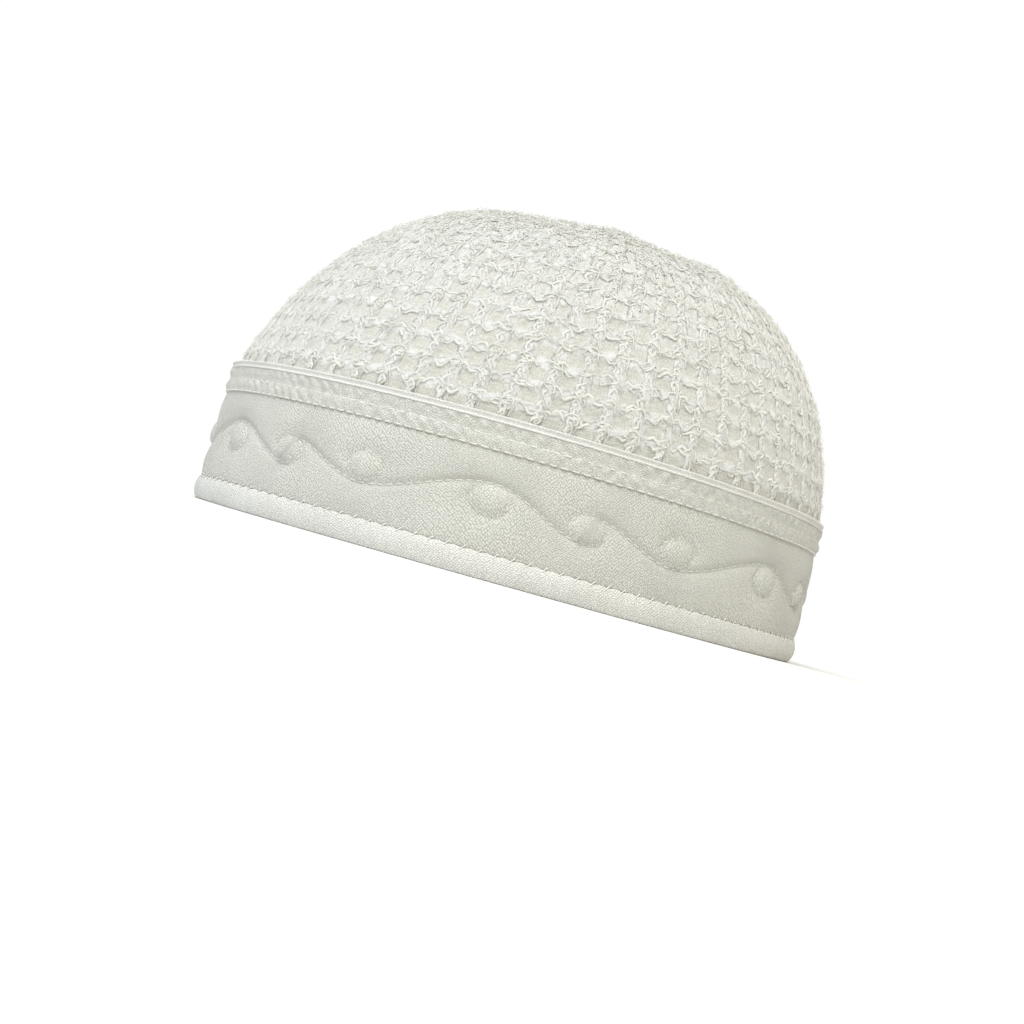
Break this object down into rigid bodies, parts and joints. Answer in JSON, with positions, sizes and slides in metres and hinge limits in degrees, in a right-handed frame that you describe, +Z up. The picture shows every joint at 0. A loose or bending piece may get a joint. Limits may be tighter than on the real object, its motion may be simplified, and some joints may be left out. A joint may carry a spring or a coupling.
{
  "type": "kufi",
  "caption": "Soft brimless cap: a quilted cloth band with a stitched wave and raised dots, bound and piped under a knitted openwork crown.",
  "frame": {"origin": "centre of the rim's foot, on the surface that the cap rests on", "axes": "+Z up to the crown, +X towards the back of the cap, -Y the side that the picture shows"},
  "size_m": [0.1892, 0.1792, 0.1091],
  "materials": {
    "band_cloth": "matt white cotton cloth with a fine birdseye weave, quilted",
    "crown_knit": "matt white fuzzy cotton yarn, knitted as a net over a plain ground"
  },
  "bodies": {
    "root": {"rim_hem": "band_cloth", "band_panel": "band_cloth", "band_binding": "band_cloth", "band_piping": "band_cloth", "knitted_crown": "crown_knit"}
  },
  "joints": []
}
